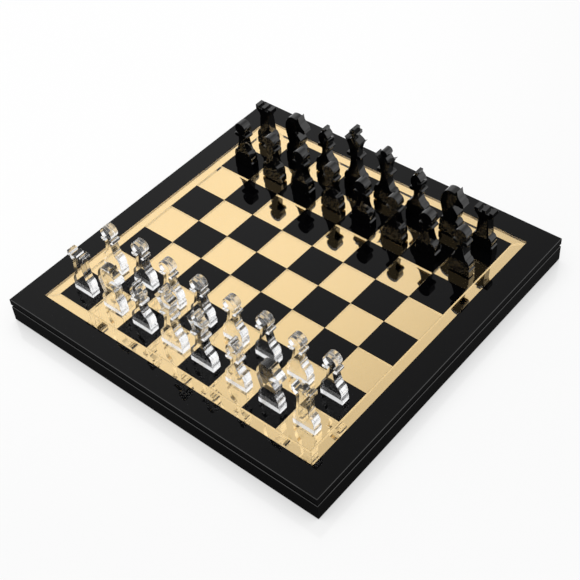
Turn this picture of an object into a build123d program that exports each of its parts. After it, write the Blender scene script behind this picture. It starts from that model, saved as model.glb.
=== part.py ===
from build123d import *
import os

# Chess set: a playing board that lifts off a shallow storage box, and 32 flat
# figures cut from thick acrylic sheet. Millimetres. Origin at the middle of the
# underside, +X from the a-file to the h-file, +Y from White to Black, +Z up.

os.makedirs("parts", exist_ok=True)

# ---- playing surface ----
square = 40.0  # pitch of the squares
squares_per_side = 8
seam = 0.2  # hairline joint between neighbouring tiles
border_width = 11.0  # gold mirror border round the squares
frame_width = 25.0  # black frame round the border
tile_thickness = 2.8  # clear acrylic of the mirror tiles
foil_thickness = 0.15  # gold foil under the clear tiles
glue = 0.05  # film of glue between bonded faces

# ---- lid ----
deck_thickness = 5.0  # sheet that carries the tiles
deck_ledge = 7.0  # how far the frame reaches over the deck's edge
deck_fit = 0.3  # play between the deck's edge and the frame's rebate
arris = 0.5  # polished bevel on the outer top edges
reveal_height = 2.4  # shadow groove between lid and box
reveal_recess = 3.0  # depth of that groove
reveal_width = 8.0  # width of the strips behind the groove
locating_depth = 4.0  # how far the locating strips drop into the box
locating_width = 5.0
locating_play = 0.5  # play between locating strips and box walls

# ---- storage box ----
wall_thickness = 5.0
wall_height = 18.5
base_thickness = 3.0
felt_thickness = 1.5
felt_margin = 1.0  # bare strip left round the felt
foot_height = 1.0
foot_radius = 7.0
foot_inset = 30.0  # from the box's outer faces to the feet's centres

# ---- figures ----
figure_thickness = 10.0
figure_polish = 0.3  # flame-polished edges of the cut profiles
seat_gap = 0.1  # air film under a standing figure
plinth_height = 7.0  # straight foot of every figure
plinth_notch = 1.2  # step in above the plinth
belly_inset = 0.7  # the rounded body stays this far inside the ends of the plinth
belly_share = 0.363  # height of the widest part of the body, between plinth and shoulder
shoulder_inset = 3.2
shoulder_drop = 1.0  # fall of the shoulder from the neck outwards
shoulder_height = 20.5  # where the body meets the neck
collar_thickness = 4.8  # of the round-ended bar under a head

figure_base = 25.0  # width of the smaller figures' plinths
royal_base = 28.0  # width of the king's and queen's plinths

neck_foot = 14.8  # width of a neck where it leaves the shoulder, on the smaller figures
pawn_neck_width = 6.6
pawn_collar_width = 17.2
pawn_head_radius = 7.4
pawn_height = 57.0
pawn_head_sink = 1.0  # how deep the round head is cut into its collar
pawn_neck = pawn_height - 2 * pawn_head_radius + pawn_head_sink - collar_thickness
rook_neck = 40.0
rook_neck_width = 11.2
rook_head_width = 21.4
rook_height = 52.5
merlon_depth = 3.2
merlon_gap = 4.0
bishop_height = 60.5
bishop_head = 25.0  # collar and mitre together
bishop_neck = bishop_height - bishop_head
bishop_neck_width = 5.4
bishop_collar_width = 16.4
bishop_brim_width = 9.2  # foot of the mitre, on the collar
bishop_tip_width = 3.4
bishop_tip_height = 3.6
bishop_mitre_width = 13.4
bishop_cleft_share = 0.505  # height of the cleft in the mitre, from its foot to its tip
bishop_cleft_depth = 5.5
bishop_cleft_width = 1.5
bishop_cleft_slope = 30.0  # degrees
bishop_foot = bishop_neck + collar_thickness
bishop_cleft_height = bishop_foot + bishop_cleft_share * (bishop_height - bishop_foot)
knight_height = 57.8
knight_reach = 16.2  # from the middle of the foot to the muzzle
knight_head = 18.2  # from the throat up to the highest line of the head
knight_ear_rise = 2.6
knight_ear = knight_height + knight_ear_rise
queen_neck = 39.0
queen_neck_width = 8.0
queen_neck_foot = 16.0
queen_crown_width = 22.0
queen_pearl_rise = 8.6  # top of the pearl above the crown's points
queen_pearl_radius = 4.3
queen_height = 69.4
queen_crown = queen_height - queen_pearl_rise  # height of the crown's points
king_neck = 42.0
king_neck_width = 8.6
king_neck_foot = 17.2
king_crown = 65.0
king_crown_width = 22.8
king_cross_width = 9.6
king_cross_bar = 3.8
king_height = 79.0
king_dome_share = 0.157  # of the way from the crown's points up to the top of the cross
king_arm_foot_share = 0.471
king_arm_top_share = 0.743
royal_collar_width = 18.4
royal_head_foot = 9.8  # width of a royal head where it leaves its collar

# ---- places worked out from the sizes above ----
field_half = square * squares_per_side / 2
border_half = field_half + border_width
board_half = border_half + frame_width
tile_side = square - seam
black_thickness = tile_thickness + glue + foil_thickness

base_bottom = foot_height
base_top = base_bottom + base_thickness
wall_top = base_bottom + wall_height
lid_bottom = wall_top + reveal_height
deck_top = lid_bottom + deck_thickness
foil_bottom = deck_top + glue
tile_bottom = foil_bottom + foil_thickness + glue
play_height = tile_bottom + tile_thickness

opening_half = border_half + seam / 2
rebate_half = opening_half + deck_ledge
wall_inner_half = board_half - wall_thickness

# The four sides of the board, each with the turn that brings the front side to it.
sides = {"front": 0, "right": 90, "back": 180, "left": 270}
file_letters = "abcdefgh"


def square_centre(file, rank):
    """Centre of a square; files and ranks count from 0."""
    return ((file + 0.5) * square - field_half, (rank + 0.5) * square - field_half)


def save(part, name):
    """Labels a finished piece and writes it under its own name."""
    part.label = name
    export_step(part, f"parts/{name}.step")


def mitred_strip(side, outer_half, inner_half, bottom, thickness, bevel=0.0):
    """One side of a square ring, cut at 45 degrees at both ends, with glue in the joints."""
    trim = glue / 2**0.5
    with BuildPart() as strip:
        with BuildSketch(Plane.XY.offset(bottom).rotated((0, 0, sides[side]))):
            with BuildLine():
                Polyline(
                    (trim - outer_half, -outer_half),
                    (outer_half - trim, -outer_half),
                    (inner_half - trim, -inner_half),
                    (trim - inner_half, -inner_half),
                    close=True,
                )
            make_face()
        extrude(amount=thickness)
        if bevel:
            outward = strip.faces().sort_by(lambda face: face.center().length)[-1]
            chamfer(outward.edges().sort_by(Axis.Z)[-1], bevel)
    return strip.part


# ================================ storage box ================================
for side in sides:
    wall = mitred_strip(side, board_half, wall_inner_half, base_bottom, wall_height, arris)
    save(wall, f"box_wall_{side}")

base_side = 2 * (wall_inner_half - glue)
with BuildPart() as box_base:
    with BuildSketch(Plane.XY.offset(base_bottom)):
        Rectangle(base_side, base_side)
    extrude(amount=base_thickness)
save(box_base.part, "box_base")

with BuildPart() as felt_lining:
    with BuildSketch(Plane.XY.offset(base_top)):
        Rectangle(base_side - 2 * felt_margin, base_side - 2 * felt_margin)
    extrude(amount=felt_thickness)
save(felt_lining.part, "felt_lining")

foot_spacing = 2 * (board_half - foot_inset)
with BuildPart() as rubber_feet:
    with BuildSketch():
        with GridLocations(foot_spacing, foot_spacing, 2, 2):
            Circle(foot_radius)
    extrude(amount=foot_height)
    chamfer(rubber_feet.faces().group_by(Axis.Z)[0].edges(), foot_height / 4)
save(rubber_feet.part, "rubber_feet")

# ==================================== lid ====================================
with BuildPart() as lid_frame:
    with BuildSketch(Plane.XY.offset(lid_bottom)):
        Rectangle(2 * board_half, 2 * board_half)
        Rectangle(2 * opening_half, 2 * opening_half, mode=Mode.SUBTRACT)
    extrude(amount=play_height - lid_bottom)
    chamfer(lid_frame.faces().sort_by(Axis.Z)[-1].outer_wire().edges(), arris)
    with BuildSketch(Plane.XY.offset(lid_bottom)):
        Rectangle(2 * rebate_half, 2 * rebate_half)
    extrude(amount=deck_thickness, mode=Mode.SUBTRACT)
save(lid_frame.part, "lid_frame")

with BuildPart() as lid_deck:
    with BuildSketch(Plane.XY.offset(lid_bottom)):
        Rectangle(2 * (rebate_half - deck_fit), 2 * (rebate_half - deck_fit))
    extrude(amount=deck_thickness)
save(lid_deck.part, "lid_deck")

for side in sides:
    reveal_half = board_half - reveal_recess
    reveal = mitred_strip(side, reveal_half, reveal_half - reveal_width, wall_top, reveal_height)
    save(reveal, f"reveal_strip_{side}")

    locating_half = wall_inner_half - locating_play
    locating = mitred_strip(
        side, locating_half, locating_half - locating_width, wall_top - locating_depth, locating_depth
    )
    save(locating, f"locating_strip_{side}")

# The a1 square is black, so the black squares are those whose file and rank numbers add up even.
cells = [(file, rank) for file in range(squares_per_side) for rank in range(squares_per_side)]
black_centres = [square_centre(*cell) for cell in cells if sum(cell) % 2 == 0]
gold_centres = [square_centre(*cell) for cell in cells if sum(cell) % 2 == 1]

for name, centres, bottom, thickness in (
    ("black_squares", black_centres, foil_bottom, black_thickness),
    ("gold_squares", gold_centres, tile_bottom, tile_thickness),
    ("gold_square_foil", gold_centres, foil_bottom, foil_thickness),
):
    with BuildPart() as tiles:
        with BuildSketch(Plane.XY.offset(bottom)):
            with Locations(*centres):
                Rectangle(tile_side, tile_side)
        extrude(amount=thickness)
    save(tiles.part, name)

border_outer = border_half - seam / 2
border_inner = field_half + seam / 2
for side in sides:
    border = mitred_strip(side, border_outer, border_inner, tile_bottom, tile_thickness)
    save(border, f"border_{side}")

with BuildPart() as border_foil:
    for side in sides:
        add(mitred_strip(side, border_outer, border_inner, foil_bottom, foil_thickness))
save(border_foil.part, "border_foil")


# ================================== figures ==================================
# A profile function draws one figure's outline, seen from White's side: x from the
# figure's middle, y up from its underside.


def body_lines(base_width, neck_half):
    """Right half of plinth and body, from the middle of the underside to the foot of the neck."""
    plinth = base_width / 2
    shoulder = (plinth - shoulder_inset, shoulder_height - shoulder_drop)
    Line((0, 0), (plinth, 0))
    Line((plinth, 0), (plinth, plinth_height))
    notch = (plinth - plinth_notch, plinth_height + plinth_notch)
    Line((plinth, plinth_height), notch)
    belly = (plinth - belly_inset, notch[1] + belly_share * (shoulder[1] - notch[1]))
    ThreePointArc(notch, belly, shoulder)
    Line(shoulder, (neck_half, shoulder_height))


def collar_lines(bottom, neck_half, reach, head_half):
    """Round-ended bar under a head, from the neck below it to the head above it."""
    radius = collar_thickness / 2
    middle = bottom + radius
    top = bottom + collar_thickness
    Line((neck_half, bottom), (reach - radius, bottom))
    ThreePointArc((reach - radius, bottom), (reach, middle), (reach - radius, top))
    Line((reach - radius, top), (head_half, top))


def disc_start(bottom, radius, top):
    """Half width, at height bottom, of a disc of this radius whose highest point is at top."""
    return (radius**2 - (top - radius - bottom) ** 2) ** 0.5


def disc_lines(bottom, radius, top):
    """Right half of a disc that stands on whatever ends at height bottom."""
    start = (disc_start(bottom, radius, top), bottom)
    ThreePointArc(start, (radius, top - radius), (0, top))


def pawn_profile():
    foot, neck = neck_foot / 2, pawn_neck_width / 2
    nape = pawn_neck + collar_thickness
    waist = shoulder_height + 0.475 * (pawn_neck - shoulder_height)
    body_lines(figure_base, foot)
    ThreePointArc((foot, shoulder_height), (1.39 * neck, waist), (neck, pawn_neck))
    head_start = disc_start(nape, pawn_head_radius, pawn_height)
    collar_lines(pawn_neck, neck, pawn_collar_width / 2, head_start)
    disc_lines(nape, pawn_head_radius, pawn_height)
    mirror(about=Plane.YZ)


def rook_profile():
    foot, neck, head = neck_foot / 2, rook_neck_width / 2, rook_head_width / 2
    battlement = rook_height - merlon_depth
    merlon = (rook_head_width - 2 * merlon_gap) / 3
    flare = rook_neck + 0.323 * (battlement - rook_neck)
    body_lines(figure_base, foot)
    Polyline(
        (foot, shoulder_height),
        (neck, rook_neck),
        (1.107 * neck, flare),
        (head, battlement - 0.5625 * merlon_depth),
        (head, rook_height),
        (head - merlon, rook_height),
        (head - merlon, battlement),
        (merlon / 2, battlement),
        (merlon / 2, rook_height),
        (0, rook_height),
    )
    mirror(about=Plane.YZ)


def bishop_profile():
    foot, neck = neck_foot / 2, bishop_neck_width / 2
    brim, mitre, tip = bishop_brim_width / 2, bishop_mitre_width / 2, bishop_tip_width / 2
    waist = shoulder_height + 0.367 * (bishop_neck - shoulder_height)
    tip_foot = bishop_height - bishop_tip_height
    body_lines(figure_base, foot)
    ThreePointArc((foot, shoulder_height), (1.48 * neck, waist), (neck, bishop_neck))
    collar_lines(bishop_neck, neck, bishop_collar_width / 2, brim)
    cheek = bishop_foot + (tip_foot - bishop_foot) / 3
    ThreePointArc((brim, bishop_foot), (mitre, cheek), (tip, tip_foot))
    Polyline((tip, tip_foot), (tip, bishop_height), (0, bishop_height))
    mirror(about=Plane.YZ)


def queen_profile():
    foot, neck = queen_neck_foot / 2, queen_neck_width / 2
    start, point = royal_head_foot / 2, queen_crown_width / 2
    waist = shoulder_height + 0.46 * (queen_neck - shoulder_height)
    brim = queen_neck + collar_thickness
    body_lines(royal_base, foot)
    ThreePointArc((foot, shoulder_height), (1.25 * neck, waist), (neck, queen_neck))
    collar_lines(queen_neck, neck, royal_collar_width / 2, start)
    ThreePointArc((start, brim), (1.31 * start, (brim + queen_crown) / 2), (point, queen_crown))
    pearl_foot = queen_height - 1.8 * queen_pearl_radius
    pearl_start = disc_start(pearl_foot, queen_pearl_radius, queen_height)
    valley = (0.509 * point, queen_crown - 0.2 * (queen_crown - brim))
    Polyline((point, queen_crown), valley, (pearl_start, pearl_foot))
    disc_lines(pearl_foot, queen_pearl_radius, queen_height)
    mirror(about=Plane.YZ)


def king_profile():
    foot, neck = king_neck_foot / 2, king_neck_width / 2
    start, point = royal_head_foot / 2, king_crown_width / 2
    bar, arm = king_cross_bar / 2, king_cross_width / 2
    waist = shoulder_height + 0.44 * (king_neck - shoulder_height)
    brim = king_neck + collar_thickness
    head = king_crown - brim
    body_lines(royal_base, foot)
    ThreePointArc((foot, shoulder_height), (1.26 * neck, waist), (neck, king_neck))
    collar_lines(king_neck, neck, royal_collar_width / 2, start)
    ThreePointArc((start, brim), (1.35 * start, brim + 0.55 * head), (point, king_crown))
    rise = king_height - king_crown
    dome = king_crown + king_dome_share * rise
    arm_foot = king_crown + king_arm_foot_share * rise
    arm_top = king_crown + king_arm_top_share * rise
    Polyline(
        (point, king_crown),
        (0.72 * point, king_crown - 0.1 * head),
        (0.474 * point, king_crown + 0.18 * (dome - king_crown)),
        (bar, dome),
        (bar, arm_foot),
        (arm, arm_foot),
        (arm, arm_top),
        (bar, arm_top),
        (bar, king_height),
        (0, king_height),
    )
    mirror(about=Plane.YZ)


def knight_profile():
    """A horse's head that looks to the right, with an open gap between muzzle and chest."""

    def head(across, down):
        """A point of the head, in shares of the reach to the muzzle and of the head's height."""
        return (across * knight_reach, knight_height - down * knight_head)

    foot, plinth = neck_foot / 2, figure_base / 2
    slope = plinth - shoulder_inset
    throat, chin, brow = head(0.16, 1), head(0.864, 0.934), head(0.537, 0.187)
    ear, nape = head(0.321, 0.044), head(-0.346, 0.121)
    neck = throat[1] - shoulder_height
    chest, withers = (slope, shoulder_height + 0.55 * neck), (-1.1 * slope, shoulder_height + 0.655 * neck)
    body_lines(figure_base, foot)
    ThreePointArc((foot, shoulder_height), (1.03 * slope, shoulder_height + 0.26 * neck), chest)
    Line(chest, throat)
    ThreePointArc(throat, head(0.457, 0.89), chin)
    Polyline(chin, head(1, 0.813), head(0.938, 0.615), head(0.667, 0.374), brow)
    Polyline(brow, (0.488 * knight_reach, knight_ear), ear)
    ThreePointArc(ear, head(0, 0), nape)
    ThreePointArc(nape, head(-0.642, 0.621), withers)
    shoulder = (-slope, shoulder_height - shoulder_drop)
    notch = (plinth_notch - plinth, plinth_height + plinth_notch)
    Polyline(withers, (-foot, shoulder_height), shoulder)
    belly = (belly_inset - plinth, notch[1] + belly_share * (shoulder[1] - notch[1]))
    ThreePointArc(shoulder, belly, notch)
    Polyline(notch, (-plinth, plinth_height), (-plinth, 0), (0, 0))


def cut_figure(profile, place, name):
    """Cuts a figure from sheet by its profile and stands it on its square."""
    x, y = place
    stray_x, stray_y = strays.get(name, (0, 0))
    middle = (x + stray_x, y + stray_y, play_height + seat_gap)
    seat = Plane(origin=middle, x_dir=(1, 0, 0), z_dir=(0, -1, 0))
    with BuildPart() as figure:
        with BuildSketch(seat):
            with BuildLine():
                profile()
            make_face()
            if profile is bishop_profile:
                with Locations((bishop_mitre_width / 2, bishop_cleft_height)):
                    Rectangle(
                        2 * bishop_cleft_depth,
                        bishop_cleft_width,
                        rotation=bishop_cleft_slope,
                        mode=Mode.SUBTRACT,
                    )
        extrude(amount=figure_thickness / 2, both=True)
        broad_faces = figure.faces().sort_by(Axis.Y)
        chamfer(broad_faces[0].edges() + broad_faces[-1].edges(), figure_polish)
    save(figure.part, name)


# Figures stand where a hand set them down: some a little off the middle of their square.
strays = {
    "white_rook_a": (-1.2, 0.0),
    "white_queen": (-1.5, 0.0),
    "white_pawn_b": (0.0, 2.5),
    "white_pawn_e": (1.5, 0.0),
    "white_pawn_f": (0.5, 1.5),
    "white_pawn_h": (-1.5, 1.0),
    "black_rook_a": (-1.5, 0.0),
    "black_bishop_c": (1.3, 0.0),
    "black_king": (1.2, 0.0),
    "black_knight_g": (1.0, 0.0),
}

back_rank = (
    ("rook_a", rook_profile),
    ("knight_b", knight_profile),
    ("bishop_c", bishop_profile),
    ("king", king_profile),
    ("queen", queen_profile),
    ("bishop_f", bishop_profile),
    ("knight_g", knight_profile),
    ("rook_h", rook_profile),
)
for colour, home_rank, pawn_rank in (("white", 0, 1), ("black", 7, 6)):
    for file, (name, profile) in enumerate(back_rank):
        cut_figure(profile, square_centre(file, home_rank), f"{colour}_{name}")
        pawn_name = f"{colour}_pawn_{file_letters[file]}"
        cut_figure(pawn_profile, square_centre(file, pawn_rank), pawn_name)
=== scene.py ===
# %% [markdown]
# # A chess set cut from acrylic sheet
#
# The board is a shallow box with a lift-off lid. The lid is the playing board: tiles of clear
# acrylic over gold mirror foil, and tiles of gloss black. The figures are flat profiles cut from
# 10 mm sheet, one side clear and one side black. Nearly every surface is polished, so the look
# comes from clean edges and from what there is to reflect, more than from colour.
#
# A CAD model of the set is loaded first, as a fixed frame. Every new piece is built in the same
# metres, so nothing has to be moved to fit.

# %% The fixed frame
import math
import random

import bmesh
import bpy
from mathutils import Matrix, Vector


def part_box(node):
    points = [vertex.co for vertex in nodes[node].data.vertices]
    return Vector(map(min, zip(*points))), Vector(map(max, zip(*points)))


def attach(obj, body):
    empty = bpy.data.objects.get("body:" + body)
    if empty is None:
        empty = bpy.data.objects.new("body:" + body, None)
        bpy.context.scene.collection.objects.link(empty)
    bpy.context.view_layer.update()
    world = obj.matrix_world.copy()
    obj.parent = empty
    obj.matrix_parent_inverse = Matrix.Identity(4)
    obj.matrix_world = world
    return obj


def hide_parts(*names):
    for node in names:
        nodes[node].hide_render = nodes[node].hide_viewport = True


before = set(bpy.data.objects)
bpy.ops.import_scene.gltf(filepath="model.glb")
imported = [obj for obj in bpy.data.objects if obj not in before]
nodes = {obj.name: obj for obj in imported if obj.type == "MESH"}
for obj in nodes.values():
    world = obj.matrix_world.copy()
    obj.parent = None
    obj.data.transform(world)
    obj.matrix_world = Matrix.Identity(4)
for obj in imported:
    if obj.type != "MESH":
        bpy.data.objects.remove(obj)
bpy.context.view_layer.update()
scene = bpy.context.scene
print("loaded", len(nodes), "CAD nodes")

# %% [markdown]
# The CAD model gives every size. A few are read back here, because the finished pieces are built
# on them: the top of the play surface, the squares and the board's width.

# %% Sizes
mm = 0.001
tiles_low, tiles_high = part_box("gold_squares")
frame_low, frame_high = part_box("lid_frame")

play_height = tiles_high.z
squares_per_side = 8
seam = 0.2 * mm
square = (tiles_high.x - tiles_low.x + seam) / squares_per_side
field_half = square * squares_per_side / 2
board_half = frame_high.x
print("square", round(square / mm, 2), "mm, board", round(2 * board_half / mm, 1), "mm")

# %% [markdown]
# The camera comes first, so that every later piece is judged from the same place. It looks down
# at the board from White's right hand, at about 46 degrees, with a long lens that keeps the
# squares nearly parallel. It could be turned by hand until the view is right. Here it is given by
# an angle round the board, an angle up and a distance, because each can then be changed alone.

# %% Camera
camera_azimuth = math.radians(43.34)
camera_elevation = math.radians(45.79)
camera_roll = math.radians(-5.12)
camera_distance = 1.1828
camera_aim = Vector((21.5 * mm, -21.1 * mm, play_height))
camera_lens = 74.97

backwards = Vector(
    (
        math.sin(camera_azimuth) * math.cos(camera_elevation),
        -math.cos(camera_azimuth) * math.cos(camera_elevation),
        math.sin(camera_elevation),
    )
)
camera_data = bpy.data.cameras.new("camera")
camera_data.sensor_width = 36
camera_data.lens = camera_lens
camera = bpy.data.objects.new("camera", camera_data)
turn = backwards.to_track_quat("Z", "Y").to_matrix() @ Matrix.Rotation(camera_roll, 3, "Z")
camera.matrix_world = Matrix.Translation(camera_aim + backwards * camera_distance) @ turn.to_4x4()
scene.collection.objects.link(camera)
scene.camera = camera
print("lens", camera_lens, "mm, at", camera_distance, "m")
scene.view_settings.view_transform = "Standard"

# %% [markdown]
# Colours are written as sRGB hex values, the way a colour picker shows them, while the renderer
# works in linear light. One function turns one into the other. Patterns are given by a real size
# in millimetres, which a second one turns into the Scale that a node wants. A third adds a node
# with its settings and links, so that each material below reads as a short recipe.


# %% Colour and node helpers
def linear(hex_colour):
    """A linear RGBA colour from an sRGB hex value."""
    channels = [int(hex_colour[i : i + 2], 16) / 255 for i in (1, 3, 5)]
    return [c / 12.92 if c <= 0.04045 else ((c + 0.055) / 1.055) ** 2.4 for c in channels] + [1.0]


def cells(*sizes):
    """The Scale that gives a pattern's cells these sizes in millimetres: one, or x, y and z."""
    scales = [1 / (size * mm) for size in sizes]
    return scales[0] if len(scales) == 1 else scales


def add_node(tree, kind, settings=None, **links):
    """Adds a node. Settings are attributes or input values; links name an input and its source."""
    node = tree.nodes.new(kind)

    def socket(name):
        """An input by its name, or by its place in the list where names repeat: i0, i1, i6."""
        return node.inputs[int(name[1:])] if name[0] == "i" and name[1:].isdigit() else node.inputs[name]

    for name, value in (settings or {}).items():
        if hasattr(node, name):
            setattr(node, name, value)
        else:
            socket(name).default_value = value
    for name, source in links.items():
        tree.links.new(source, socket(name))
    return node


def start_material(name, **principled):
    """A new material with a Principled BSDF whose constant sockets are set."""
    material = bpy.data.materials.new(name)
    material.use_nodes = True
    shader = material.node_tree.nodes["Principled BSDF"]
    for socket, value in principled.items():
        shader.inputs[socket.replace("_", " ")].default_value = value
    return material, material.node_tree, shader


print("#808080 is", round(linear("#808080")[0], 3), "in linear light; 5 mm cells need", cells(5.0))

# %% [markdown]
# Polished cast acrylic is never quite perfect. It carries a faint orange peel from casting and
# fine wiping marks, both too small to see as shapes: they only soften a reflection here and
# there. Real wiping marks are hair-fine, and are drawn about a millimetre wide so that they show.
# The sheet, the cut figures and the satin edge where a sheet was sawn all share them, and differ
# only in how much they reflect and how sharply.
#
# Acrylic's own refractive index is 1.49. In a room this white it would turn the blacks grey, so
# the sheet, the figures and the satin edge have a lower one. Arrises and the figures'
# flame-polished edges draw the fine lines of light. A real studio lamp is many times brighter
# than white paper. Here no light is much brighter than white, so they have a higher one instead.


# %% Black cast acrylic
def polish_marks(tree, shader, low, high, peel_height):
    """Roughness and bump of a wiped, polished sheet, on Object coordinates."""
    place = add_node(tree, "ShaderNodeTexCoord").outputs["Object"]
    wipe = add_node(tree, "ShaderNodeMapping", {"Scale": cells(1.11, 8.33, 2.5)}, Vector=place)
    streaks = add_node(tree, "ShaderNodeTexNoise", {"Scale": 1.0, "Detail": 4.0}, Vector=wipe.outputs[0])
    smears = add_node(tree, "ShaderNodeTexNoise", {"Scale": cells(35.7), "Detail": 3.0}, Vector=place)
    mixed = add_node(
        tree, "ShaderNodeMath", {"operation": "MULTIPLY"}, i0=streaks.outputs[0], i1=smears.outputs[0]
    )
    rough = add_node(
        tree, "ShaderNodeMapRange", {"From Min": 0.1, "From Max": 0.45, "To Min": low, "To Max": high},
        Value=mixed.outputs[0],
    )
    tree.links.new(rough.outputs[0], shader.inputs["Roughness"])
    peel = add_node(tree, "ShaderNodeTexNoise", {"Scale": cells(14.3), "Detail": 2.0}, Vector=place)
    bump = add_node(
        tree, "ShaderNodeBump", {"Strength": 0.25, "Distance": peel_height}, Height=peel.outputs[0]
    )
    tree.links.new(bump.outputs[0], shader.inputs["Normal"])
    return place


def black_cast_acrylic(name, colour, refractive_index, low, high, peel_height):
    material, tree, shader = start_material(name, Base_Color=linear(colour), IOR=refractive_index)
    place = polish_marks(tree, shader, low, high, peel_height)
    dust = add_node(tree, "ShaderNodeTexNoise", {"Scale": cells(6.25), "Detail": 5.0}, Vector=place)
    tint = add_node(
        tree, "ShaderNodeMix",
        {"data_type": "RGBA", "i6": linear(colour), "i7": linear("#060607")},
        Factor=dust.outputs[0],
    )
    tree.links.new(tint.outputs[2], shader.inputs["Base Color"])
    return material


board_black = black_cast_acrylic("black_sheet_acrylic", "#020203", 1.25, 0.01, 0.03, 0.000004)
figure_black = black_cast_acrylic("black_cut_acrylic", "#020202", 1.16, 0.01, 0.03, 0.000002)
cut_edge_black = black_cast_acrylic("satin_cut_edge_acrylic", "#020202", 1.03, 0.2, 0.34, 0.00001)
arris_black = black_cast_acrylic("polished_arris_acrylic", "#020202", 1.6, 0.02, 0.06, 0.000002)
print("black acrylics:", board_black.name, figure_black.name, cut_edge_black.name, arris_black.name)

# %% [markdown]
# Clear acrylic bends light like glass, with a refractive index of 1.49. The figures and the
# squares' tiles are the same material, but the cut edges of the figures keep a fine ripple from
# the saw under their polish. The real ripple is finer, and is drawn about 4 mm wide so that it
# shows. It only belongs on surfaces that don't face along the sheet's thickness, so the Normal's
# Y part masks it. A Glass BSDF could do the same, but a Principled BSDF with full transmission
# has the same sockets as every other finish here.


# %% Clear cast acrylic
def clear_cast_acrylic(name, colour, ripple, edge_roughness):
    material, tree, shader = start_material(
        name, Base_Color=linear(colour), IOR=1.49, Transmission_Weight=1.0
    )
    place = add_node(tree, "ShaderNodeTexCoord")
    wear = add_node(
        tree, "ShaderNodeTexNoise", {"Scale": cells(22.2), "Detail": 3.0}, Vector=place.outputs["Object"]
    )
    rough = add_node(
        tree, "ShaderNodeMapRange", {"From Min": 0.35, "From Max": 0.7, "To Min": 0.0, "To Max": 0.02},
        Value=wear.outputs[0],
    )
    saw = add_node(
        tree, "ShaderNodeMapping", {"Scale": cells(3.85, 33.3, 3.85)}, Vector=place.outputs["Object"]
    )
    lines = add_node(tree, "ShaderNodeTexNoise", {"Scale": 1.0, "Detail": 2.0}, Vector=saw.outputs[0])
    facing = add_node(tree, "ShaderNodeSeparateXYZ", Vector=place.outputs["Normal"])
    size_y = add_node(tree, "ShaderNodeMath", {"operation": "ABSOLUTE"}, i0=facing.outputs[1])
    edge = add_node(
        tree, "ShaderNodeMath", {"operation": "SUBTRACT", "i0": 1.0, "use_clamp": True},
        i1=size_y.outputs[0],
    )
    strength = add_node(
        tree, "ShaderNodeMath", {"operation": "MULTIPLY", "i1": ripple}, i0=edge.outputs[0]
    )
    satin = add_node(
        tree, "ShaderNodeMath", {"operation": "MULTIPLY_ADD", "i1": edge_roughness},
        i0=edge.outputs[0], i2=rough.outputs[0],
    )
    tree.links.new(satin.outputs[0], shader.inputs["Roughness"])
    bump = add_node(
        tree, "ShaderNodeBump", {"Distance": 0.0002}, Height=lines.outputs[0], Strength=strength.outputs[0]
    )
    tree.links.new(bump.outputs[0], shader.inputs["Normal"])
    return material


figure_clear = clear_cast_acrylic("clear_cut_acrylic", "#FFFFFF", ripple=0.06, edge_roughness=0.11)
tile_clear = clear_cast_acrylic("clear_tile_acrylic", "#FFFEFB", ripple=0.0, edge_roughness=0.0)
print("clear acrylics:", figure_clear.name, tile_clear.name)

# %% [markdown]
# The upright edges of the tiles and border strips are laser cut, and so nearly polished. Light
# inside the clear sheet meets them at a glancing angle and is thrown back whole. Seen through the
# top, each joint shows as a fine bright line, which is what outlines the gold. A near-white
# reflector stands in for that total reflection. It has to stay smooth: a rough one turns most
# of the light too steep to leave the sheet again, and the line goes dark. The outer edges of the
# border are sawn and satin instead, so where they are seen through the top they draw a soft
# brown line between the gold and the black frame, and mirror nothing sharply.


# %% Cut edge of clear acrylic
def clear_cut_edge(name, dark, light, low, high):
    """The inside of a cut edge. Its marks run up and down, drawn coarse enough to show."""
    material, tree, shader = start_material(name, Metallic=1.0)
    place = add_node(tree, "ShaderNodeTexCoord").outputs["Object"]
    stretch = add_node(tree, "ShaderNodeMapping", {"Scale": cells(1.43, 1.43, 11.1)}, Vector=place)
    teeth = add_node(
        tree, "ShaderNodeTexNoise", {"Scale": 1.0, "Detail": 3.0}, Vector=stretch.outputs[0]
    )
    tint = add_node(
        tree, "ShaderNodeMix", {"data_type": "RGBA", "i6": linear(dark), "i7": linear(light)},
        Factor=teeth.outputs[0],
    )
    tree.links.new(tint.outputs[2], shader.inputs["Base Color"])
    rough = add_node(tree, "ShaderNodeMapRange", {"To Min": low, "To Max": high}, Value=teeth.outputs[0])
    tree.links.new(rough.outputs[0], shader.inputs["Roughness"])
    return material


cut_edge_clear = clear_cut_edge("clear_cut_edge_acrylic", "#F8F8FA", "#FFFFFF", 0.03, 0.1)
sawn_edge_clear = clear_cut_edge("satin_sawn_edge_acrylic", "#B9B1A2", "#D8D2C6", 0.22, 0.38)
print("cut edges:", cut_edge_clear.name, sawn_edge_clear.name)

# %% [markdown]
# The gold is a mirror foil under the clear tiles: a metal with a warm colour and almost no
# roughness. It needs no picture of gold, only a colour and a room to mirror. It is laid by hand,
# so it undulates very slightly, in waves nearly two squares long.

# %% Gold mirror foil
gold_foil, tree, shader = start_material("gold_mirror_foil", Metallic=1.0, Roughness=0.015)
place = add_node(tree, "ShaderNodeTexCoord").outputs["Object"]
cloud = add_node(tree, "ShaderNodeTexNoise", {"Scale": cells(111.0), "Detail": 2.0}, Vector=place)
warmth = add_node(
    tree, "ShaderNodeMix", {"data_type": "RGBA", "i6": linear("#FBDEA7"), "i7": linear("#F7D89B")},
    Factor=cloud.outputs[0],
)
tree.links.new(warmth.outputs[2], shader.inputs["Base Color"])
waves = add_node(tree, "ShaderNodeTexNoise", {"Scale": cells(71.4), "Detail": 1.0}, Vector=place)
bump = add_node(tree, "ShaderNodeBump", {"Strength": 0.1, "Distance": 0.0001}, Height=waves.outputs[0])
tree.links.new(bump.outputs[0], shader.inputs["Normal"])
print("foil:", gold_foil.name)

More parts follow.
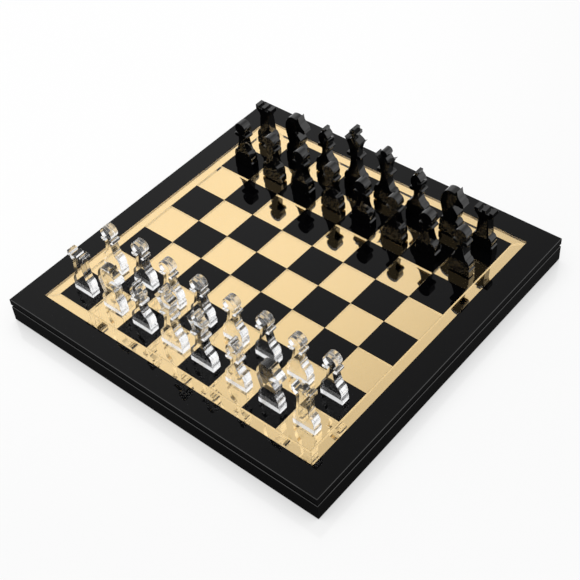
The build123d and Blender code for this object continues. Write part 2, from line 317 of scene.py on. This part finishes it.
# %% [markdown]
# Felt is a mat of short fibres: rough, with a soft sheen at grazing angles and a nap that lies
# unevenly, so clumps of it are lighter and darker. Real fibres are a few hundredths of a
# millimetre thick. They are drawn 0.7 mm wide, because finer ones wouldn't show.

# %% Wool felt
black_felt, tree, shader = start_material(
    "wool_felt", Roughness=1.0, Sheen_Weight=0.35, Sheen_Roughness=0.5, Specular_IOR_Level=0.1
)
place = add_node(tree, "ShaderNodeTexCoord").outputs["Object"]
fibres = add_node(tree, "ShaderNodeTexNoise", {"Scale": cells(0.714), "Detail": 6.0}, Vector=place)
nap = add_node(tree, "ShaderNodeTexNoise", {"Scale": cells(16.7), "Detail": 3.0}, Vector=place)
pile = add_node(
    tree, "ShaderNodeMath", {"operation": "MULTIPLY"}, i0=fibres.outputs[0], i1=nap.outputs[0]
)
clumps = add_node(
    tree, "ShaderNodeMapRange", {"From Min": 0.14, "From Max": 0.36, "To Min": 0.0, "To Max": 1.0},
    Value=pile.outputs[0],
)
shade = add_node(
    tree, "ShaderNodeMix", {"data_type": "RGBA", "i6": linear("#08080A"), "i7": linear("#2A2A2E")},
    Factor=clumps.outputs[0],
)
tree.links.new(shade.outputs[2], shader.inputs["Base Color"])
bump = add_node(tree, "ShaderNodeBump", {"Strength": 0.6, "Distance": 0.0003}, Height=pile.outputs[0])
tree.links.new(bump.outputs[0], shader.inputs["Normal"])
print("felt:", black_felt.name)

# %% [markdown]
# The feet are moulded rubber, which is matte with a fine speckle from its mould. The speckle is
# drawn a millimetre wide, coarser than the real one, so that it shows.

# %% Moulded rubber
black_rubber, tree, shader = start_material("moulded_rubber", Specular_IOR_Level=0.3)
place = add_node(tree, "ShaderNodeTexCoord").outputs["Object"]
speckle = add_node(tree, "ShaderNodeTexNoise", {"Scale": cells(1.11), "Detail": 4.0}, Vector=place)
shade = add_node(
    tree, "ShaderNodeMix", {"data_type": "RGBA", "i6": linear("#0D0D0D"), "i7": linear("#1E1E1E")},
    Factor=speckle.outputs[0],
)
tree.links.new(shade.outputs[2], shader.inputs["Base Color"])
rough = add_node(tree, "ShaderNodeMapRange", {"To Min": 0.55, "To Max": 0.8}, Value=speckle.outputs[0])
tree.links.new(rough.outputs[0], shader.inputs["Roughness"])
bump = add_node(tree, "ShaderNodeBump", {"Strength": 0.3, "Distance": 0.0001}, Height=speckle.outputs[0])
tree.links.new(bump.outputs[0], shader.inputs["Normal"])
print("rubber:", black_rubber.name)

# %% [markdown]
# CAD nodes whose shape is already right stay in the scene and only get a finish. Their mesh is
# never touched: the material goes into the object's own slots.

# %% Finish for the CAD nodes that stay
kept_nodes = {
    "gold_square_foil": gold_foil,
    "border_foil": gold_foil,
    "lid_deck": board_black,
    "box_base": board_black,
    "felt_lining": black_felt,
    "rubber_feet": black_rubber,
}
for side in ("front", "right", "back", "left"):
    kept_nodes[f"reveal_strip_{side}"] = board_black
    kept_nodes[f"locating_strip_{side}"] = board_black

for name, material in kept_nodes.items():
    for material_slot in bpy.data.objects[name].material_slots:
        material_slot.link = "OBJECT"
        material_slot.material = material
print("kept", len(kept_nodes), "CAD nodes")

# %% [markdown]
# New pieces are made from bmesh data. One helper turns a finished bmesh into an object at the origin with
# its list of materials and shades it smooth, but keeps its corners sharp. It also hangs the piece on the
# body it rides on and hides the CAD node it stands for. Weighted normals keep the broad flat faces flat
# where they run into a rounded edge.


# %% Helper for finished pieces
def finish_piece(name, mesh_data, materials, body, node):
    bmesh.ops.recalc_face_normals(mesh_data, faces=mesh_data.faces[:])
    mesh = bpy.data.meshes.new(name)
    mesh_data.to_mesh(mesh)
    mesh_data.free()
    mesh.polygons.foreach_set("use_smooth", [True] * len(mesh.polygons))
    mesh.set_sharp_from_angle(angle=math.radians(32))
    for material in materials:
        mesh.materials.append(material)
    piece = bpy.data.objects.new(name, mesh)
    scene.collection.objects.link(piece)
    weighted = piece.modifiers.new("weighted_normals", "WEIGHTED_NORMAL")
    weighted.keep_sharp = True
    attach(piece, body)
    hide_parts(node)
    return piece


# %% [markdown]
# Two more helpers work on the bmesh before it is finished. One gives some of the faces another
# material of the piece, and the small tests after it say which faces those are. The other rounds
# edges with a bevel.


# %% Marking faces and rounding edges
on_plane = 0.02 * mm


def mark_faces(mesh_data, is_marked, index=1):
    """Gives a later material of the piece to the faces that is_marked picks."""
    mesh_data.normal_update()
    for face in mesh_data.faces:
        if is_marked(face):
            face.material_index = index


def is_upright(face):
    return abs(face.normal.z) < 0.1


def on_outer_side(face):
    centre = face.calc_center_median()
    return is_upright(face) and max(abs(centre.x), abs(centre.y)) > board_half - on_plane


def on_strip_outside(face):
    centre = face.calc_center_median()
    return is_upright(face) and max(abs(centre.x), abs(centre.y)) > border_high.x - on_plane


def on_arris(face):
    return 0.6 < abs(face.normal.z) < 0.8


def round_edges(mesh_data, edges, radius, segments=3):
    bmesh.ops.bevel(
        mesh_data,
        geom=edges,
        offset=radius,
        offset_type="OFFSET",
        affect="EDGES",
        segments=segments,
        profile=0.5,
        material=-1,
    )


# %% [markdown]
# Outlines are lists of points in millimetres. Straight stretches only need their corners, and a
# round stretch is an arc through three points, worked out from the circle that passes through
# them.


# %% Arcs
def arc(start, through, end, steps=14):
    """Points on the circle through three points, from start to end, both included."""
    (ax, ay), (bx, by), (cx, cy) = start, through, end
    d = 2 * (ax * (by - cy) + bx * (cy - ay) + cx * (ay - by))
    a2, b2, c2 = ax * ax + ay * ay, bx * bx + by * by, cx * cx + cy * cy
    ux = (a2 * (by - cy) + b2 * (cy - ay) + c2 * (ay - by)) / d
    uy = (a2 * (cx - bx) + b2 * (ax - cx) + c2 * (bx - ax)) / d
    radius = math.hypot(ax - ux, ay - uy)
    first, middle, last = (math.atan2(y - uy, x - ux) for x, y in (start, through, end))
    turn = (last - first) % math.tau
    if (middle - first) % math.tau > turn:
        turn -= math.tau
    angles = [first + turn * i / steps for i in range(steps + 1)]
    return [(ux + radius * math.cos(t), uy + radius * math.sin(t)) for t in angles]


quarter = arc((1, 0), (math.sqrt(0.5), math.sqrt(0.5)), (0, 1))
print("a quarter circle has", len(quarter), "points")


# %% [markdown]
# The board's frame, its border strips and the walls of the box are all one section carried round
# a square. A section is a list of (distance from the middle, height). The frame is one closed
# ring with mitred corners. It could be a block with a hole cut in it. Spinning the section a full
# turn in four steps is simpler, because each step lands on a corner and makes its mitre.
#
# A strip is one side of such a ring: the section at one mitre, extruded to the other and turned
# to its side of the board. It stops short at both ends by half a glue joint.


# %% Sections carried round a square
quarter_turns = {"front": 0, "right": 1, "back": 2, "left": 3}


def square_ring(section):
    """A closed ring: the section at one corner, spun round the middle in quarter turns."""
    mesh_data = bmesh.new()
    verts = [mesh_data.verts.new((-r, -r, z)) for r, z in section]
    edges = [mesh_data.edges.new((verts[i - 1], verts[i])) for i in range(len(verts))]
    bmesh.ops.spin(
        mesh_data,
        geom=verts + edges,
        cent=(0, 0, 0),
        axis=(0, 0, 1),
        angle=math.tau,
        steps=len(quarter_turns),
        use_merge=True,
    )
    return mesh_data


def push_out(mesh_data, face):
    """Extrudes a face and gives back its new corners, which still have to be moved."""
    pushed = bmesh.ops.extrude_face_region(mesh_data, geom=[face])
    return [item for item in pushed["geom"] if isinstance(item, bmesh.types.BMVert)]


def mitred_strip(side, section, half_joint, rounding):
    """One side of a ring, from mitre to mitre, with all its edges rounded."""
    mesh_data = bmesh.new()
    end = mesh_data.faces.new([mesh_data.verts.new((half_joint - r, -r, z)) for r, z in section])
    bmesh.ops.scale(mesh_data, vec=(-1, 1, 1), verts=push_out(mesh_data, end))
    round_edges(mesh_data, mesh_data.edges[:], rounding, 2)
    turn = Matrix.Rotation(math.radians(90) * quarter_turns[side], 3, "Z")
    bmesh.ops.transform(mesh_data, matrix=turn.to_4x4(), verts=mesh_data.verts[:])
    return mesh_data


# %% [markdown]
# The frame lies flush with the tiles. It laps over the deck that carries them, so its section is
# an L upside down, with a flat arris along the outer top edge. The arris is polished, and so
# narrow that it reads as one fine line of light.

# %% Frame of the lid
border_low, border_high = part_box("border_front")
deck_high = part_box("lid_deck")[1]
deck_fit = 0.3 * mm
opening_half = border_high.x + seam
rebate_half = deck_high.x + deck_fit
lid_bottom = frame_low.z
arris = 0.5 * mm
lower_arris = 0.2 * mm
tile_rounding = 0.12 * mm
frame_section = [
    (rebate_half, lid_bottom),
    (board_half - lower_arris, lid_bottom),
    (board_half, lid_bottom + lower_arris),
    (board_half, play_height - arris),
    (board_half - arris, play_height),
    (opening_half + tile_rounding, play_height),
    (opening_half, play_height - tile_rounding),
    (opening_half, deck_high.z),
    (rebate_half, deck_high.z),
]
ring = square_ring(frame_section)
mark_faces(ring, on_outer_side, 1)
mark_faces(ring, on_arris, 2)
frame_materials = (board_black, cut_edge_black, arris_black)
finish_piece("frame", ring, frame_materials, "lid", "lid_frame")
print("frame", round(2 * board_half / mm, 1), "mm across,", len(frame_section), "points in its section")

# %% [markdown]
# The walls of the box are 5 mm sheet with the same kind of arris, satin all over. The gold border
# is four clear strips over foil, mitred at the corners, with sawn outer edges.

# %% Box walls and border strips
half_joint = 0.035 * mm
wall_rounding, strip_rounding = 0.05 * mm, 0.06 * mm
for side in quarter_turns:
    low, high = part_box(f"box_wall_{side}")
    wall_inner = board_half - min(high.x - low.x, high.y - low.y)
    section = [
        (wall_inner, low.z),
        (board_half, low.z),
        (board_half, high.z - arris),
        (board_half - arris, high.z),
        (wall_inner, high.z),
    ]
    wall = mitred_strip(side, section, half_joint, wall_rounding)
    mark_faces(wall, on_arris)
    wall_materials = (cut_edge_black, arris_black)
    finish_piece(f"wall_{side}", wall, wall_materials, "box", f"box_wall_{side}")

    low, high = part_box(f"border_{side}")
    outer, inner = border_high.x, border_high.x - (border_high.y - border_low.y)
    section = [(inner, low.z), (outer, low.z), (outer, high.z), (inner, high.z)]
    strip = mitred_strip(side, section, half_joint, strip_rounding)
    mark_faces(strip, is_upright)
    mark_faces(strip, on_strip_outside, 2)
    strip_materials = (tile_clear, cut_edge_clear, sawn_edge_clear)
    finish_piece(
        f"border_tiles_{side}", strip, strip_materials, "lid", f"border_{side}"
    )
print("walls and border strips made for", len(quarter_turns), "sides")

# %% [markdown]
# Every square is its own tile with a fine rounded edge. Tiles are bedded by hand, so each lies a
# few hundredths of a millimetre out of level. That is too little to see as a step, but it shifts
# reflections from one tile to the next, which is what tells a real tiled mirror from a printed
# one. The random numbers are seeded, so every run lays the same board.

# %% Tiles of the squares
random.seed(64)
tile_half = (square - seam) / 2
tilt_limit = math.radians(0.06)


def laid_tiles(parity, bottom, top):
    mesh_data = bmesh.new()
    for file in range(squares_per_side):
        for rank in range(squares_per_side):
            slope_x = random.uniform(-tilt_limit, tilt_limit)
            slope_y = random.uniform(-tilt_limit, tilt_limit)
            if (file + rank) % 2 != parity:
                continue
            x = (file + 0.5) * square - field_half
            y = (rank + 0.5) * square - field_half
            tile = bmesh.new()
            bmesh.ops.create_cube(tile, size=1.0)
            for vert in tile.verts:
                across, along = 2 * tile_half * vert.co.x, 2 * tile_half * vert.co.y
                rise = slope_x * across + slope_y * along - tile_half * (abs(slope_x) + abs(slope_y))
                vert.co = (x + across, y + along, top + rise if vert.co.z > 0 else bottom)
            round_edges(tile, tile.edges[:], tile_rounding, 2)
            block = bpy.data.meshes.new("tile")
            tile.to_mesh(block)
            tile.free()
            mesh_data.from_mesh(block)
            bpy.data.meshes.remove(block)
    return mesh_data


black_low, black_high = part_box("black_squares")
black_tiles = laid_tiles(0, black_low.z, black_high.z)
finish_piece("black_tiles", black_tiles, (board_black,), "lid", "black_squares")
gold_tiles = laid_tiles(1, tiles_low.z, tiles_high.z)
mark_faces(gold_tiles, is_upright)
finish_piece(
    "gold_tiles", gold_tiles, (tile_clear, cut_edge_clear), "lid", "gold_squares"
)
print("tiles laid, each", round(2 * tile_half / mm, 2), "mm")

# %% [markdown]
# Now the figures. They share a foot: a straight plinth, a notch, and a body that swells and then
# closes at the shoulder. They also share the bar with rounded ends that sits under each head. Each
# function below gives the right half of an outline, from the middle of the underside up to the
# top.

# %% Shared parts of the outlines
figure_base, royal_base = 25.0, 28.0
plinth_height, plinth_notch = 7.0, 1.2
shoulder_height, shoulder_inset, shoulder_drop = 20.5, 3.2, 1.0
belly_inset, belly_share = 0.7, 0.363
collar_thickness = 4.8
neck_foot = 14.8


def foot_outline(base_width, neck_half):
    plinth = base_width / 2
    notch = (plinth - plinth_notch, plinth_height + plinth_notch)
    shoulder = (plinth - shoulder_inset, shoulder_height - shoulder_drop)
    belly = (plinth - belly_inset, notch[1] + belly_share * (shoulder[1] - notch[1]))
    body = arc(notch, belly, shoulder)
    return [(0, 0), (plinth, 0), (plinth, plinth_height), *body, (neck_half, shoulder_height)]


def neck_outline(foot, neck, swell, share, neck_height):
    waist = shoulder_height + share * (neck_height - shoulder_height)
    return arc((foot, shoulder_height), (swell * neck, waist), (neck, neck_height))[1:]


def collar_outline(bottom, reach, head_half):
    radius = collar_thickness / 2
    top = bottom + collar_thickness
    end = arc((reach - radius, bottom), (reach, bottom + radius), (reach - radius, top))
    return [*end, (head_half, top)]


def disc_outline(foot, radius, top):
    half = math.sqrt(radius**2 - (top - radius - foot) ** 2)
    return arc((half, foot), (radius, top - radius), (0, top), 26)


print("foot", figure_base, "mm wide, or", royal_base, "mm for queen and king")

# %% [markdown]
# The pawn carries a plain disc on its collar.


# %% Pawn
def pawn_outline():
    radius, sink, top = 7.4, 1.0, 57.0
    nape = top - 2 * radius + sink
    neck_height = nape - collar_thickness
    head = disc_outline(nape, radius, top)
    return [
        *foot_outline(figure_base, neck_foot / 2),
        *neck_outline(neck_foot / 2, neck=3.3, swell=1.39, share=0.475, neck_height=neck_height),
        *collar_outline(neck_height, reach=8.6, head_half=head[0][0]),
        *head[1:],
    ]


print("pawn:", len(pawn_outline()), "points,", max(z for x, z in pawn_outline()), "mm tall")

# %% [markdown]
# The rook widens into a head with three merlons and two gaps between them.


# %% Rook
def rook_outline():
    neck_height, top = 40.0, 52.5
    neck, head = 5.6, 10.7
    depth, gap = 3.2, 4.0
    battlement = top - depth
    merlon = (2 * head - 2 * gap) / 3
    return [
        *foot_outline(figure_base, neck_foot / 2),
        (neck, neck_height),
        (1.107 * neck, neck_height + 0.323 * (battlement - neck_height)),
        (head, battlement - 0.5625 * depth),
        (head, top),
        (head - merlon, top),
        (head - merlon, battlement),
        (merlon / 2, battlement),
        (merlon / 2, top),
        (0, top),
    ]


print("rook:", len(rook_outline()), "points,", max(z for x, z in rook_outline()), "mm tall")

# %% [markdown]
# The bishop has a pointed mitre with a button on top. Its cleft is cut later.


# %% Bishop
bishop_neck, bishop_top = 35.5, 60.5
bishop_brim = bishop_neck + collar_thickness
mitre_foot, mitre_half = 4.6, 6.7


def bishop_outline():
    tip, tip_foot = 1.7, bishop_top - 3.6
    cheek = (mitre_half, bishop_brim + (tip_foot - bishop_brim) / 3)
    return [
        *foot_outline(figure_base, neck_foot / 2),
        *neck_outline(neck_foot / 2, neck=2.7, swell=1.48, share=0.367, neck_height=bishop_neck),
        *collar_outline(bishop_neck, reach=8.2, head_half=mitre_foot),
        *arc((mitre_foot, bishop_brim), cheek, (tip, tip_foot), 20)[1:],
        (tip, bishop_top),
        (0, bishop_top),
    ]


print("bishop:", len(bishop_outline()), "points,", max(z for x, z in bishop_outline()), "mm tall")

# %% [markdown]
# The queen and the king are wider at the foot. The queen's crown has two points with a pearl
# between them.


# %% Queen
def queen_outline():
    neck_height, crown, top = 39.0, 60.8, 69.4
    point, pearl = 11.0, 4.3
    brim = neck_height + collar_thickness
    return [
        *foot_outline(royal_base, 8.0),
        *neck_outline(8.0, neck=4.0, swell=1.25, share=0.46, neck_height=neck_height),
        *collar_outline(neck_height, reach=9.2, head_half=4.9),
        *arc((4.9, brim), (6.42, (brim + crown) / 2), (point, crown))[1:],
        (0.509 * point, crown - 0.2 * (crown - brim)),
        *disc_outline(top - 1.8 * pearl, pearl, top),
    ]


print("queen:", len(queen_outline()), "points,", max(z for x, z in queen_outline()), "mm tall")

# %% [markdown]
# The king's crown is domed and carries a cross.


# %% King
def king_outline():
    neck_height, crown, point, top = 42.0, 65.0, 11.4, 79.0
    bar, arm = 1.9, 4.8
    brim = neck_height + collar_thickness
    head, rise = crown - brim, top - crown
    dome, arm_foot, arm_top = crown + 0.157 * rise, crown + 0.471 * rise, crown + 0.743 * rise
    return [
        *foot_outline(royal_base, 8.6),
        *neck_outline(8.6, neck=4.3, swell=1.26, share=0.44, neck_height=neck_height),
        *collar_outline(neck_height, reach=9.2, head_half=4.9),
        *arc((4.9, brim), (6.62, brim + 0.55 * head), (point, crown))[1:],
        (0.72 * point, crown - 0.1 * head),
        (0.474 * point, crown + 0.18 * (dome - crown)),
        (bar, dome),
        (bar, arm_foot),
        (arm, arm_foot),
        (arm, arm_top),
        (bar, arm_top),
        (bar, top),
        (0, top),
    ]


print("king:", len(king_outline()), "points,", max(z for x, z in king_outline()), "mm tall")

# %% [markdown]
# The knight is the one figure that isn't the same on both sides: a horse's head that looks to the
# right. Its points are shares of the reach to the muzzle and of the head's height.


# %% Knight
def knight_outline():
    top, reach, head_height = 57.8, 16.2, 18.2

    def head(across, down):
        return (across * reach, top - down * head_height)

    slope = figure_base / 2 - shoulder_inset
    throat = head(0.16, 1)
    neck = throat[1] - shoulder_height
    chest = (slope, shoulder_height + 0.55 * neck)
    withers = (-1.1 * slope, shoulder_height + 0.655 * neck)
    left_foot = [(-x, z) for x, z in reversed(foot_outline(figure_base, neck_foot / 2))]
    return [
        *foot_outline(figure_base, neck_foot / 2),
        *arc((neck_foot / 2, shoulder_height), (1.03 * slope, shoulder_height + 0.26 * neck), chest)[1:],
        *arc(throat, head(0.457, 0.89), head(0.864, 0.934)),
        head(1, 0.813),
        head(0.938, 0.615),
        head(0.667, 0.374),
        head(0.537, 0.187),
        (0.488 * reach, top + 2.6),
        *arc(head(0.321, 0.044), head(0, 0), head(-0.346, 0.121)),
        *arc(head(-0.346, 0.121), head(-0.642, 0.621), withers)[1:],
        *left_foot[:-1],
    ]


print("knight:", len(knight_outline()), "points")

# %% [markdown]
# An outline becomes a figure in three steps: mirror it, push the face out to the sheet's
# thickness, and round the rims with a small bevel. Where each figure stands comes from the CAD
# box of its node. The knight's muzzle reaches past its foot, so its middle is half a foot from
# the left end of the box, as it is for the others. A figure with a second material has that one
# on its cut edges.


# %% Cutting the figures
rim_rounding = 0.3 * mm


def is_cut_edge(face):
    return abs(face.normal.y) < 0.9


def cut_figure(node, outline, symmetric, materials):
    low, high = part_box(node)
    base = high.x - low.x if symmetric else figure_base * mm
    middle = low.x + base / 2
    half = outline()
    points = half + [(-x, z) for x, z in reversed(half[1:-1])] if symmetric else half
    mesh_data = bmesh.new()
    verts = [mesh_data.verts.new((middle + x * mm, low.y, low.z + z * mm)) for x, z in points]
    face = mesh_data.faces.new(verts)
    if outline is bishop_outline:
        face = cut_cleft(mesh_data, middle, low)
    bmesh.ops.translate(mesh_data, verts=push_out(mesh_data, face), vec=(0, high.y - low.y, 0))
    rims = [edge for edge in mesh_data.edges if abs(edge.verts[0].co.y - edge.verts[1].co.y) < 0.01 * mm]
    round_edges(mesh_data, rims, rim_rounding)
    if len(materials) > 1:
        mark_faces(mesh_data, is_cut_edge)
    name = node.replace("white", "clear") + "_figure"
    return finish_piece(name, mesh_data, materials, node, node)


# %% [markdown]
# The bishop's cleft is a narrow slot that runs down into the right flank of the mitre. Three cuts
# across the flat face mark it out: one along each side and one at its closed end. The small face
# between them is then taken away and the outline closed round it.


# %% The bishop's cleft
cleft_share = 0.505
cleft_mouth = (mitre_half, bishop_brim + cleft_share * (bishop_top - bishop_brim))
cleft_depth, cleft_width = 5.5, 1.5
cleft_slope = math.radians(30)
print("cleft", cleft_depth, "mm deep,", cleft_width, "mm wide,", round(cleft_mouth[1], 1), "mm up")


def cut_cleft(mesh_data, middle, low):
    """Cuts the slot out of the flat face and gives back the one face that remains."""
    along = Vector((math.cos(cleft_slope), 0, math.sin(cleft_slope)))
    across = Vector((-along.z, 0, along.x))
    mouth = Vector((middle + cleft_mouth[0] * mm, low.y, low.z + cleft_mouth[1] * mm))
    cuts = (
        (mouth + across * cleft_width / 2 * mm, across),
        (mouth - across * cleft_width / 2 * mm, across),
        (mouth - along * cleft_depth * mm, along),
    )
    for point, normal in cuts:
        bmesh.ops.bisect_plane(
            mesh_data, geom=mesh_data.verts[:] + mesh_data.edges[:] + mesh_data.faces[:],
            plane_co=point, plane_no=normal,
        )

    def in_slot(face):
        offset = face.calc_center_median() - mouth
        return offset.dot(along) > -cleft_depth * mm and abs(offset.dot(across)) < cleft_width / 2 * mm

    removed = [face for face in mesh_data.faces if in_slot(face)]
    bmesh.ops.delete(mesh_data, geom=removed, context="FACES")
    inner = [edge for edge in mesh_data.edges if len(edge.link_faces) == 2]
    bmesh.ops.dissolve_edges(mesh_data, edges=inner, use_verts=False)
    return mesh_data.faces[:][0]


# %% [markdown]
# One table names every kind of figure and its node's ending. White's figures are clear and
# Black's are black. Kings stand on the d-file and queens on the e-file.

# %% Setting up the board
kinds = (
    (pawn_outline, True, [f"pawn_{file}" for file in "abcdefgh"]),
    (rook_outline, True, ["rook_a", "rook_h"]),
    (knight_outline, False, ["knight_b", "knight_g"]),
    (bishop_outline, True, ["bishop_c", "bishop_f"]),
    (queen_outline, True, ["queen"]),
    (king_outline, True, ["king"]),
)
sides_of_play = (
    ("white", (figure_clear,), "clear_figure_acrylic"),
    ("black", (figure_black, arris_black), "black_figure_acrylic"),
)
figures = []
for colour, materials, record_slot in sides_of_play:
    for outline, symmetric, endings in kinds:
        for ending in endings:
            figures.append(cut_figure(f"{colour}_{ending}", outline, symmetric, materials))
print("cut", len(figures), "figures,", sum(len(f.data.polygons) for f in figures), "faces")

# %% [markdown]
# Polished acrylic shows what stands round it, so the room matters as much as the lamps. The world
# is a white studio with a grey stretch of ceiling above the far side, which is what the squares
# mirror, and a soft glow at the left end of it.

# %% The studio
world = bpy.data.worlds.new("studio")
world.use_nodes = True
scene.world = world
tree = world.node_tree
background = tree.nodes["Background"]
heading = add_node(tree, "ShaderNodeTexCoord").outputs["Generated"]
glow_heading = Vector((-0.6425, 0.5391, 0.5446))
ceiling_heading = Vector((-0.4786, 0.5072, 0.7168))


def spot(heading, direction, full, gone, inside, outside):
    """A value that is inside round a direction and fades to outside; angles in degrees."""
    closeness = add_node(
        tree, "ShaderNodeVectorMath", {"operation": "DOT_PRODUCT", "i1": direction}, i0=heading
    )
    return add_node(
        tree, "ShaderNodeMapRange",
        {
            "interpolation_type": "SMOOTHSTEP",
            "From Min": math.cos(math.radians(gone)),
            "From Max": math.cos(math.radians(full)),
            "To Min": outside,
            "To Max": inside,
        },
        Value=closeness.outputs["Value"],
    )


glow = spot(heading, glow_heading, full=7, gone=24, inside=1.05, outside=0.62)
grey_ceiling = spot(heading, ceiling_heading, full=26, gone=42, inside=0.0, outside=1.0)
level = add_node(
    tree, "ShaderNodeMath", {"operation": "MAXIMUM"}, i0=glow.outputs[0], i1=grey_ceiling.outputs[0]
)
tree.links.new(level.outputs[0], background.inputs["Strength"])
background.inputs["Color"].default_value = (1, 1, 1, 1)
print("world:", len(tree.nodes), "nodes")

# %% [markdown]
# Two softboxes stand beyond the far right and the near left corners, where the 45 degree arrises
# of the board and the rounded heads look. A ray passes through a lamp, so a mirror shows the
# lamp's light on top of the world behind it. Each adds only 0.3 to the white studio: enough to
# draw a fine line along an edge, and too little to turn the gold white where it mirrors a lamp.

# %% Softboxes
softbox_width, softbox_height = 1.0, 0.9
softbox_distance = 2.0
softbox_radiance = 0.3


def softbox(name, heading):
    """A rectangular lamp that faces the board, with the power that gives it its radiance."""
    heading = Vector(heading).normalized()
    data = bpy.data.lights.new(name, "AREA")
    data.shape = "RECTANGLE"
    data.size = softbox_width
    data.size_y = softbox_height
    data.energy = softbox_radiance * math.pi * softbox_width * softbox_height
    lamp = bpy.data.objects.new(name, data)
    turned = heading.to_track_quat("Z", "Y").to_matrix().to_4x4()
    lamp.matrix_world = Matrix.Translation(heading * softbox_distance) @ turned
    lamp.visible_diffuse = False
    scene.collection.objects.link(lamp)


softbox("softbox_right", (0.74, 0.51, 0.44))
softbox("softbox_left", (-0.48, -0.72, 0.51))
print("softboxes:", [light.name for light in bpy.data.lights])

# %% [markdown]
# The floor is a pale sheet of satin laminate. Seen directly, mirrored or through a clear figure it glows
# white at strength 1. Close to the board that glow is dimmed by ambient occlusion, which paints a soft
# shadow of the board. Its gloss adds a faint reflection of the board's sides. Openness alone would spread
# that painted shadow wide, so it is multiplied by two minus itself, which stays near 1 until close to the
# board.

# %% White laminate
shadow_reach = 35 * mm
gloss_share = 0.08
white_share = 0.92
floor_material, tree, shader = start_material("white_laminate", Specular_IOR_Level=0.3)
place = add_node(tree, "ShaderNodeTexCoord").outputs["Object"]
tooth = add_node(tree, "ShaderNodeTexNoise", {"Scale": cells(33.3), "Detail": 4.0}, Vector=place)
shade = add_node(
    tree, "ShaderNodeMix", {"data_type": "RGBA", "i6": linear("#FBFBFB"), "i7": linear("#FFFFFF")},
    Factor=tooth.outputs[0],
)
tree.links.new(shade.outputs[2], shader.inputs["Base Color"])
rough = add_node(tree, "ShaderNodeMapRange", {"To Min": 0.3, "To Max": 0.33}, Value=tooth.outputs[0])
tree.links.new(rough.outputs[0], shader.inputs["Roughness"])

ray = add_node(tree, "ShaderNodeLightPath")
mirrored = add_node(
    tree, "ShaderNodeMath", {"operation": "MAXIMUM"},
    i0=ray.outputs["Is Glossy Ray"], i1=ray.outputs["Is Transmission Ray"],
)
seen = add_node(
    tree, "ShaderNodeMath", {"operation": "MAXIMUM"},
    i0=ray.outputs["Is Camera Ray"], i1=mirrored.outputs[0],
)
# Painted shadow: the white glow's strength is the openness times two minus itself, so the floor darkens
# close to the board.
openness = add_node(tree, "ShaderNodeAmbientOcclusion", {"Distance": shadow_reach})
falloff = add_node(
    tree, "ShaderNodeMath", {"operation": "SUBTRACT", "i0": 2.0}, i1=openness.outputs["AO"]
)
glow_with_painted_shadow = add_node(
    tree, "ShaderNodeMath", {"operation": "MULTIPLY"}, i0=openness.outputs["AO"], i1=falloff.outputs[0]
)
white = add_node(tree, "ShaderNodeEmission", {"Color": (1, 1, 1, 1)}, Strength=glow_with_painted_shadow.outputs[0])
gloss = add_node(tree, "ShaderNodeBsdfGlossy", {"Color": (1, 1, 1, 1), "Roughness": 0.12})
laminate = add_node(
    tree, "ShaderNodeMixShader", {"i0": gloss_share}, i1=white.outputs[0], i2=gloss.outputs[0]
)
share = add_node(tree, "ShaderNodeMath", {"operation": "MULTIPLY", "i1": white_share}, i0=seen.outputs[0])
paper = add_node(
    tree, "ShaderNodeMixShader", i0=share.outputs[0], i1=shader.outputs[0], i2=laminate.outputs[0]
)
tree.links.new(paper.outputs[0], tree.nodes["Material Output"].inputs["Surface"])
print("laminate:", len(tree.nodes), "nodes")

# %% [markdown]
# The floor itself is one large square. It belongs to the stage and not to the chess set.

# %% Floor
floor_half = 6.0
floor_data = bmesh.new()
bmesh.ops.create_grid(floor_data, x_segments=1, y_segments=1, size=floor_half)
floor_mesh = bpy.data.meshes.new("floor")
floor_data.to_mesh(floor_mesh)
floor_data.free()
floor_mesh.materials.append(floor_material)
floor = bpy.data.objects.new("floor", floor_mesh)
scene.collection.objects.link(floor)
print("floor", 2 * floor_half, "m square")
